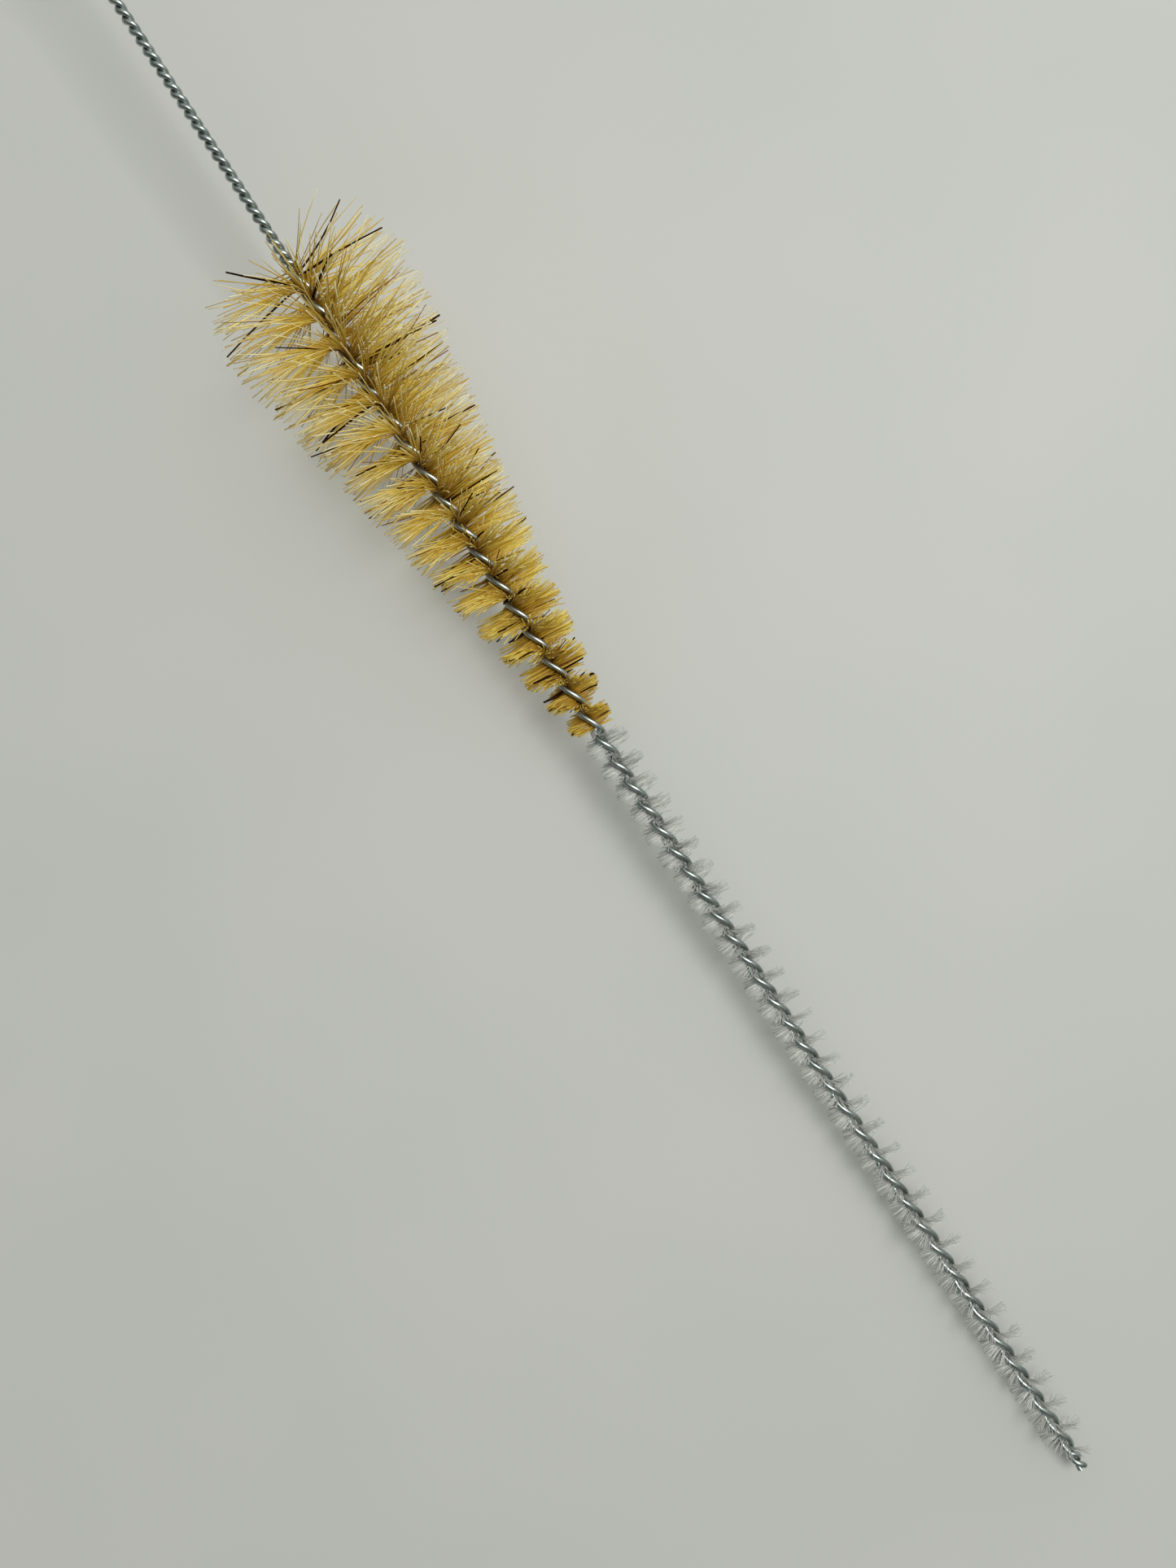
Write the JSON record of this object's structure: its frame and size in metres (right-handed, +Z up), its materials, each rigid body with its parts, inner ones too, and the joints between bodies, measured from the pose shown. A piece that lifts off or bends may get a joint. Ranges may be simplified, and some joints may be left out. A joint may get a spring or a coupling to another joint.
{
  "type": "bottle brush",
  "caption": "Slim bottle brush on a twisted wire stem with a hanging loop: a tapered cone of blond hog bristle, then a thin clear nylon tip for necks and tubes.",
  "frame": {"origin": "on the ground, under the middle of the brush's length", "axes": "+X along the brush from the hanging loop to the tip, +Z up, with the brush lying on its bristles"},
  "size_m": [0.3078, 0.0326, 0.0314],
  "materials": {
    "zinc_wire": "galvanised steel wire, drawn and satin bright",
    "hog_bristle": "natural blond hog bristle, cut ends, a few brown and black hairs",
    "clear_nylon": "clear nylon monofilament"
  },
  "bodies": {
    "root": {"twisted_wire": "zinc_wire", "hog_bristle": "hog_bristle", "nylon_filament": "clear_nylon"}
  },
  "joints": []
}
